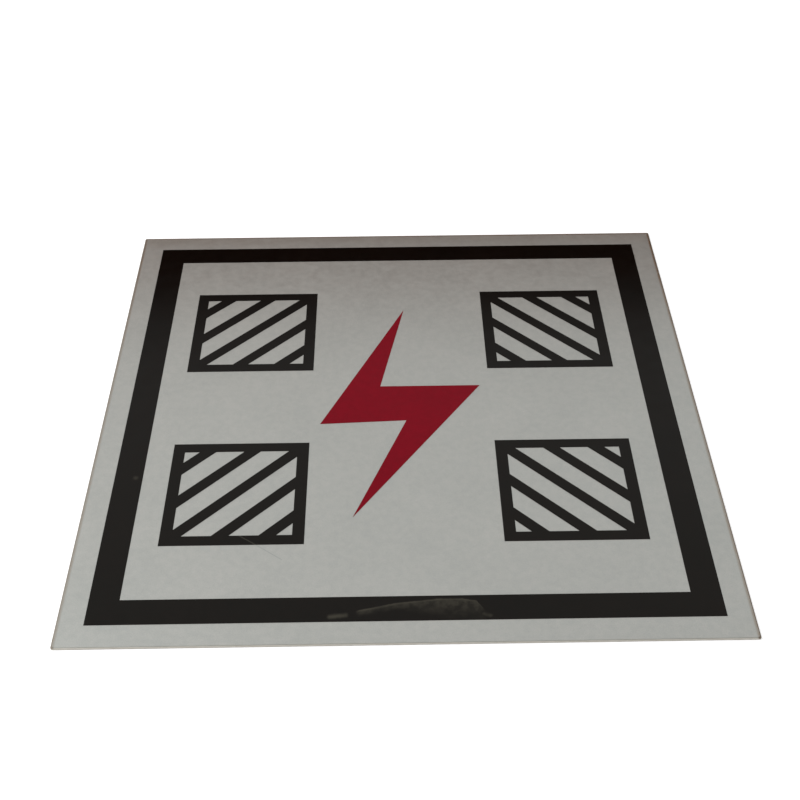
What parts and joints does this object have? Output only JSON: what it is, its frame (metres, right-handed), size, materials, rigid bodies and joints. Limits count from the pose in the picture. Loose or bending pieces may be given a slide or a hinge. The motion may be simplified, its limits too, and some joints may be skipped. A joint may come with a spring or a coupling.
{
  "type": "high voltage warning sign",
  "caption": "Square flat sheet metal safety sign faced with pale reflective film, with a black border frame, a red lightning bolt and plain black hatched squares.",
  "frame": {"origin": "centre of the plate's back face, which lies on the ground", "axes": "+Z out of the sign's face, +Y towards the top of the sign, +X to the right of its face"},
  "size_m": [0.5, 0.5, 0.0017],
  "materials": {
    "plate": "mill finish with sheared edges",
    "sheeting": "semi-gloss reflective film",
    "black_film": "gloss film",
    "red_film": "gloss film"
  },
  "bodies": {
    "root": {"plate": "plate", "reflective_sheeting": "sheeting", "border_frame": "black_film", "lightning_bolt": "red_film", "mark_upper_left": "black_film", "mark_upper_right": "black_film", "mark_lower_left": "black_film", "mark_lower_right": "black_film"}
  },
  "joints": []
}
